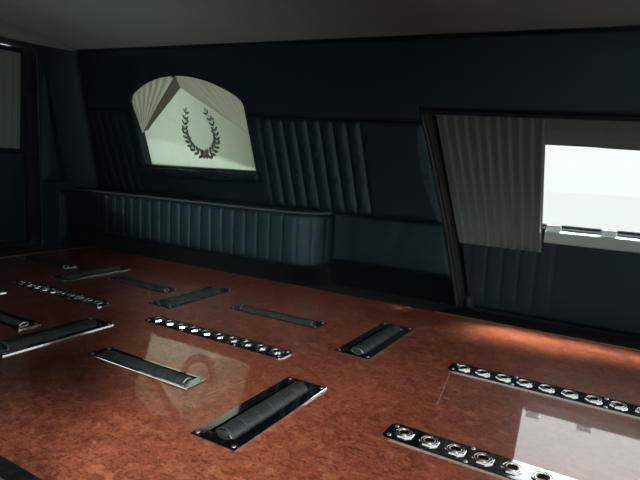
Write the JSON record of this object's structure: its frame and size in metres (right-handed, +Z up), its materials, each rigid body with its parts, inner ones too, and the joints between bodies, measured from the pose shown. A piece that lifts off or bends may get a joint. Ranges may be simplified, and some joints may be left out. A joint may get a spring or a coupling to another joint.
{
  "type": "hearse casket compartment",
  "caption": "Casket compartment of a hearse: roller deck with bier-pin plates, trimmed left wall with opera window, hinged side door, tailgate and roof half.",
  "frame": {"origin": "middle of the casket deck's top face", "axes": "+X to the vehicle's front, +Y to its left side, +Z up"},
  "size_m": [3.391, 1.932, 1.3986],
  "materials": {
    "burl_laminate": "high gloss",
    "frame_steel": "satin",
    "rubber_black": "matt",
    "sill_metal": "brushed",
    "chrome_plate": "polished",
    "carpet_black": "matt",
    "leather_navy": "soft sheen",
    "bead_grey": "soft sheen",
    "body_paint": "gloss",
    "liner_black": "matt",
    "headliner_cloth": "matt",
    "glass_tinted": "clear",
    "cloth_white": "satin",
    "drape_ivory": "satin",
    "drape_grey": "matt",
    "latch_clear": "gloss",
    "steel_bright": "brushed"
  },
  "bodies": {
    "compartment": {"deck_board": "burl_laminate", "frame_rails": "frame_steel", "frame_cross_members": "frame_steel", "frame_legs": "frame_steel", "deck_edge_strip": "rubber_black", "door_sill": "sill_metal", "rear_sill": "sill_metal", "rear_sill_inlay": "burl_laminate", "bier_pin_plates": "chrome_plate", "crosswise_roller_trays": "chrome_plate", "lengthwise_roller_trays": "chrome_plate", "roller_axles": "steel_bright", "kick_panel": "carpet_black", "wheelhouse_box": "leather_navy", "wheelhouse_rail": "bead_grey", "wheelhouse_liner": "liner_black", "lower_quarter_trim": "leather_navy", "upper_quarter_trim": "leather_navy", "header_band": "leather_navy", "quarter_panel": "body_paint", "headliner": "headliner_cloth", "roof_panel": "body_paint", "opera_window_glass": "glass_tinted", "opera_backing_cloth": "cloth_white", "opera_drapes": "drape_ivory", "window_sill_pad": "leather_navy", "door_seal": "rubber_black", "front_post": "body_paint", "front_post_trim": "leather_navy", "rear_frame": "body_paint", "rear_frame_trim": "leather_navy", "hinge_brackets": "chrome_plate"},
    "side_door": {"side_door_shell": "body_paint", "side_door_trim": "leather_navy", "side_door_glass": "glass_tinted", "side_door_drape": "drape_grey", "side_door_valance": "drape_grey", "side_door_ledge": "sill_metal", "side_door_latches": "latch_clear", "side_door_handle": "chrome_plate", "side_door_hinge_straps": "chrome_plate"},
    "tailgate": {"tailgate_shell": "body_paint", "tailgate_trim": "leather_navy", "tailgate_glass": "glass_tinted", "tailgate_drape": "drape_grey", "tailgate_handle": "chrome_plate", "tailgate_hinge_straps": "chrome_plate"},
    "crosswise_roller_front_left": {"crosswise_roller_front_left": "rubber_black"},
    "lengthwise_roller_front_left": {"lengthwise_roller_front_left": "rubber_black"},
    "crosswise_roller_front_right": {"crosswise_roller_front_right": "rubber_black"},
    "lengthwise_roller_front_right": {"lengthwise_roller_front_right": "rubber_black"},
    "crosswise_roller_middle_left": {"crosswise_roller_middle_left": "rubber_black"},
    "lengthwise_roller_middle_left": {"lengthwise_roller_middle_left": "rubber_black"},
    "crosswise_roller_middle_right": {"crosswise_roller_middle_right": "rubber_black"},
    "lengthwise_roller_middle_right": {"lengthwise_roller_middle_right": "rubber_black"},
    "crosswise_roller_rear_left": {"crosswise_roller_rear_left": "rubber_black"},
    "lengthwise_roller_rear_left": {"lengthwise_roller_rear_left": "rubber_black"},
    "crosswise_roller_rear_right": {"crosswise_roller_rear_right": "rubber_black"},
    "lengthwise_roller_rear_right": {"lengthwise_roller_rear_right": "rubber_black"}
  },
  "joints": [
    {"name": "side_door_hinge", "type": "hinge", "parent": "compartment", "child": "side_door", "pos_m": [1.474, 0.962, 0.085], "axis": [0, 0, -1], "range_deg": [0, 70]},
    {"name": "tailgate_hinge", "type": "hinge", "parent": "compartment", "child": "tailgate", "pos_m": [-1.809, 0.5075, 0.45], "axis": [0, 0, -1], "range_deg": [0, 100]},
    {"name": "crosswise_roller_front_left_spin", "type": "hinge", "parent": "compartment", "child": "crosswise_roller_front_left", "pos_m": [0.453, 0.278, -0.009], "axis": [0, 1, 0], "continuous": true},
    {"name": "lengthwise_roller_front_left_spin", "type": "hinge", "parent": "compartment", "child": "lengthwise_roller_front_left", "pos_m": [0.081, 0.278, -0.008], "axis": [1, 0, 0], "continuous": true},
    {"name": "crosswise_roller_front_right_spin", "type": "hinge", "parent": "compartment", "child": "crosswise_roller_front_right", "pos_m": [0.453, -0.278, -0.009], "axis": [0, 1, 0], "continuous": true},
    {"name": "lengthwise_roller_front_right_spin", "type": "hinge", "parent": "compartment", "child": "lengthwise_roller_front_right", "pos_m": [0.081, -0.278, -0.008], "axis": [1, 0, 0], "continuous": true},
    {"name": "crosswise_roller_middle_left_spin", "type": "hinge", "parent": "compartment", "child": "crosswise_roller_middle_left", "pos_m": [-0.302, 0.278, -0.009], "axis": [0, 1, 0], "continuous": true},
    {"name": "lengthwise_roller_middle_left_spin", "type": "hinge", "parent": "compartment", "child": "lengthwise_roller_middle_left", "pos_m": [-0.586, 0.278, -0.008], "axis": [1, 0, 0], "continuous": true},
    {"name": "crosswise_roller_middle_right_spin", "type": "hinge", "parent": "compartment", "child": "crosswise_roller_middle_right", "pos_m": [-0.302, -0.278, -0.009], "axis": [0, 1, 0], "continuous": true},
    {"name": "lengthwise_roller_middle_right_spin", "type": "hinge", "parent": "compartment", "child": "lengthwise_roller_middle_right", "pos_m": [-0.586, -0.278, -0.008], "axis": [1, 0, 0], "continuous": true},
    {"name": "crosswise_roller_rear_left_spin", "type": "hinge", "parent": "compartment", "child": "crosswise_roller_rear_left", "pos_m": [-0.894, 0.278, -0.009], "axis": [0, 1, 0], "continuous": true},
    {"name": "lengthwise_roller_rear_left_spin", "type": "hinge", "parent": "compartment", "child": "lengthwise_roller_rear_left", "pos_m": [-1.225, 0.278, -0.008], "axis": [1, 0, 0], "continuous": true},
    {"name": "crosswise_roller_rear_right_spin", "type": "hinge", "parent": "compartment", "child": "crosswise_roller_rear_right", "pos_m": [-0.894, -0.278, -0.009], "axis": [0, 1, 0], "continuous": true},
    {"name": "lengthwise_roller_rear_right_spin", "type": "hinge", "parent": "compartment", "child": "lengthwise_roller_rear_right", "pos_m": [-1.225, -0.278, -0.008], "axis": [1, 0, 0], "continuous": true}
  ]
}
